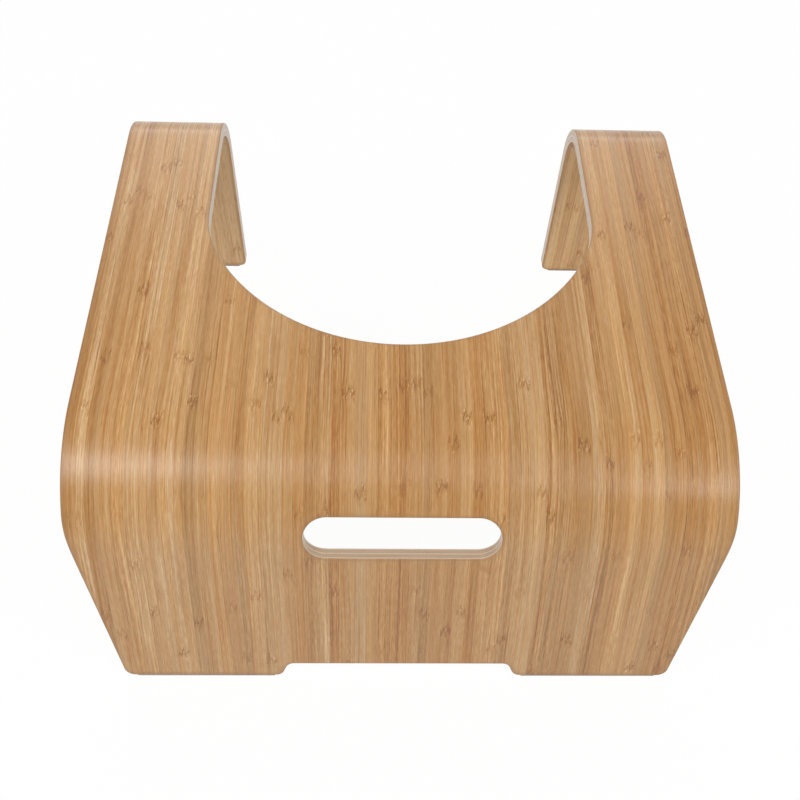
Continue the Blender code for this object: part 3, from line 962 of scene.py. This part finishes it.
def edge_finish(name, grain, stretch, pale, dark):
    """The sanded and sealed edge of a ply."""
    material, w, shader = new_finish(name)
    wood = w.add("ShaderNodeGroup", node_tree=grain)
    w.feed(wood.inputs["Sheet"], sheet_place(w))
    wood.inputs["Stretch"].default_value = stretch
    wood.inputs["Ply thickness"].default_value = PLY_THICKNESS
    wood.inputs["Sheet thickness"].default_value = SHEET_THICKNESS
    wood.inputs["Pale"].default_value = (*pale, 1)
    wood.inputs["Dark"].default_value = (*dark, 1)
    wood.inputs["Glue"].default_value = GLUE_COLOUR
    w.feed(shader.inputs["Base Color"], wood.outputs["Colour"])
    w.feed(shader.inputs["Roughness"], w.remap(wood.outputs["Fibre"], 0.3, 0.7, *EDGE_ROUGHNESS))
    bump = w.add("ShaderNodeBump", {"Height": wood.outputs["Fibre"], "Strength": 0.2, "Distance": 0.0001})
    w.feed(shader.inputs["Normal"], bump.outputs["Normal"])
    return material


def strip_finish(name):
    """Soft clear rubber, faintly clouded."""
    material, w, shader = new_finish(name)
    place = w.add("ShaderNodeTexCoord").outputs["Object"]
    cloud = w.noise(place, scale=220.0, detail=2.0)
    w.feed(shader.inputs["Base Color"], w.mix(cloud, RUBBER_THIN, RUBBER_THICK))
    w.feed(shader.inputs["Roughness"], w.remap(cloud, 0.3, 0.7, *RUBBER_ROUGHNESS))
    shader.inputs["Transmission Weight"].default_value = 0.15
    shader.inputs["IOR"].default_value = 1.43
    bump = w.add("ShaderNodeBump", {"Height": cloud, "Strength": 0.1, "Distance": 0.0001})
    w.feed(shader.inputs["Normal"], bump.outputs["Normal"])
    return material


# The stool


def finish_piece(piece, node):
    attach(piece, "root")
    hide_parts(node)


def build_plies():
    """The five plies, pressed to the stool's side view."""
    laths, grain = laths_group(), grain_group()
    outer = face_finish("lacquered bamboo", laths, 0.0, with_painted_sheen_and_light=True)
    # The inner faces are paler, partly their own tone and partly painted light
    inner = face_finish("lacquered bamboo, inner face, paler with painted light", laths, INNER_FACE_TONE_WITH_PAINTED_LIGHT, with_painted_sheen_and_light=False)
    edges = {
        key: edge_finish(name, grain, stretch, pale, dark)
        for key, (name, stretch, pale, dark) in EDGE_FINISHES.items()
    }
    side_view = {
        "Front panel length": FRONT_PANEL_LENGTH,
        "Front lean": FRONT_LEAN,
        "Front bend radius": FRONT_BEND_RADIUS,
        "Front bend turn": FRONT_BEND_TURN,
        "Tread length": TREAD_LENGTH,
        "Rear bend radius": REAR_BEND_RADIUS,
        "Rear bend turn": REAR_BEND_TURN,
        "Foot front": FOOT_FRONT,
        "Foot level": FOOT_LEVEL,
    }
    tree = press_tree()
    weighting = ("WEIGHTED_NORMAL", {"keep_sharp": True})
    for number, (name, node, slot, edge) in enumerate(PLIES):
        finishes = {"Face finish": outer if number == 0 else inner, "Edge finish": edges[edge]}
        ply = made_by(tree, name, blank_mesh(number), side_view | finishes, [weighting])
        finish_piece(ply, node)


def build_strips():
    """The clear strips, each under the flat end of a foot."""
    clear = strip_finish("clear rubber")
    tree = strip_tree()
    corners = half_corners()

    def flat_span(inner, outer):
        """Where the flat end of a foot lies across the stool, between its two rounded corners."""
        ends = []
        for index, sign in ((inner, 1), (outer, -1)):
            (before, _), (corner, radius), (after, _) = corners[index - 1 : index + 2]
            ends.append(corner.x + sign * (corner_setback(before, corner, after, radius) + STRIP_MARGIN))
        return ends

    front_depth = SHEET_THICKNESS / math.cos(FRONT_LEAN)
    rear_face = FOOT_FRONT + SHEET_DEPTH
    feet = (
        ("front", flat_span(2, 3), front_depth, FOOT_FRONT + front_depth / 2),
        ("rear", flat_span(7, 6), SHEET_THICKNESS, rear_face - SHEET_THICKNESS / 2),
    )
    for place, (low, high), depth, middle in feet:
        for side, sign in (("left", -1), ("right", 1)):
            values = {
                "Length": high - low,
                "Width": depth - 2 * STRIP_MARGIN,
                "Thickness": FOOT_LEVEL,
                "Corner radius": STRIP_CORNER_RADIUS,
                "Middle": (sign * (low + high) / 2, middle, 0.0),
                "Finish": clear,
            }
            name = f"{place}_{side}_strip"
            bevel = {"width": STRIP_ROUNDING, "segments": STRIP_ROUNDING_SEGMENTS, "limit_method": "ANGLE"}
            strip = made_by(tree, name, bpy.data.meshes.new(name), values, [("BEVEL", bevel)])
            strip.data.shade_smooth()
            finish_piece(strip, f"{place}_{side}_pad")


# Floor, light and camera


def seen_plainly(w):
    """One for what the camera sees straight, or in gloss or through a clear strip; else nought."""
    path = w.add("ShaderNodeLightPath").outputs
    seen = w.math("MAXIMUM", path["Is Camera Ray"], path["Is Glossy Ray"])
    return w.math("MAXIMUM", seen, path["Is Transmission Ray"])


def build_floor():
    """A wide pale floor that is white to the camera but for a share of the stool's shadow."""
    mesh = bpy.data.meshes.new("floor")
    corners = [(x * FLOOR_REACH, y * FLOOR_REACH, 0) for x, y in ((-1, -1), (1, -1), (1, 1), (-1, 1))]
    mesh.from_pydata(corners, [], [(0, 1, 2, 3)])
    floor = bpy.data.objects.new("floor", mesh)
    bpy.context.scene.collection.objects.link(floor)
    material, w, shader = new_finish("pale floor")
    seen = seen_plainly(w)
    w.feed(shader.inputs["Base Color"], w.mix(seen, FLOOR_COLOUR, WHITE))
    shader.inputs["Roughness"].default_value = 0.9
    glow = w.add("ShaderNodeEmission", {"Strength": 1.0})
    blend = w.add("ShaderNodeMixShader")
    w.feed(blend.inputs[0], w.math("MULTIPLY", seen, FLOOR_GLOW_SHARE))
    w.feed(blend.inputs[1], shader.outputs[0])
    w.feed(blend.inputs[2], glow.outputs[0])
    output = material.node_tree.nodes["Material Output"]
    w.feed(output.inputs["Surface"], blend.outputs[0])
    mesh.materials.append(material)


def aimed(place, target):
    """The matrix of a lamp at a place that shines at a target."""
    place, target = Vector(place), Vector(target)
    turn = (target - place).to_track_quat("-Z", "Y")
    return Matrix.Translation(place) @ turn.to_matrix().to_4x4()


def build_light():
    """Soft lamps before the stool and beside it, one behind, and an even white surround."""
    for name, place, (wide, high), radiance in LAMPS:
        lamp = bpy.data.lights.new(name, "AREA")
        lamp.shape = "RECTANGLE"
        lamp.size, lamp.size_y = wide, high
        lamp.energy = radiance * math.pi * wide * high
        holder = bpy.data.objects.new(name, lamp)
        holder.matrix_world = aimed(place, LAMP_TARGET)
        bpy.context.scene.collection.objects.link(holder)
    world = bpy.data.worlds.new("surround")
    bpy.context.scene.world = world
    world.use_nodes = True
    w = Wiring(world.node_tree)
    background = world.node_tree.nodes["Background"]
    w.feed(background.inputs["Strength"], w.remap(seen_plainly(w), 0.0, 1.0, SURROUND_STRENGTH, 1.0))
    background.inputs["Color"].default_value = WHITE


def build_camera():
    """The photograph's camera."""
    heading, dip, roll = CAMERA_HEADING, CAMERA_DIP, CAMERA_ROLL
    ahead = Vector((-math.sin(heading) * math.cos(dip), math.cos(heading) * math.cos(dip), -math.sin(dip)))
    level = Vector((math.cos(heading), math.sin(heading), 0))
    above = level.cross(ahead)
    right = math.cos(roll) * level + math.sin(roll) * above
    up = math.cos(roll) * above - math.sin(roll) * level
    turn = Matrix((right, up, -ahead)).transposed().to_4x4()
    camera = bpy.data.cameras.new("photo_camera")
    camera.lens = CAMERA_LENS
    camera.sensor_width = CAMERA_SENSOR_WIDTH
    holder = bpy.data.objects.new("photo_camera", camera)
    holder.matrix_world = Matrix.Translation(CAMERA_PLACE) @ turn
    bpy.context.scene.collection.objects.link(holder)
    bpy.context.scene.camera = holder


def build_scene():
    build_plies()
    build_strips()
    build_floor()
    build_light()
    build_camera()
    bpy.context.scene.view_settings.view_transform = "Standard"


build_scene()
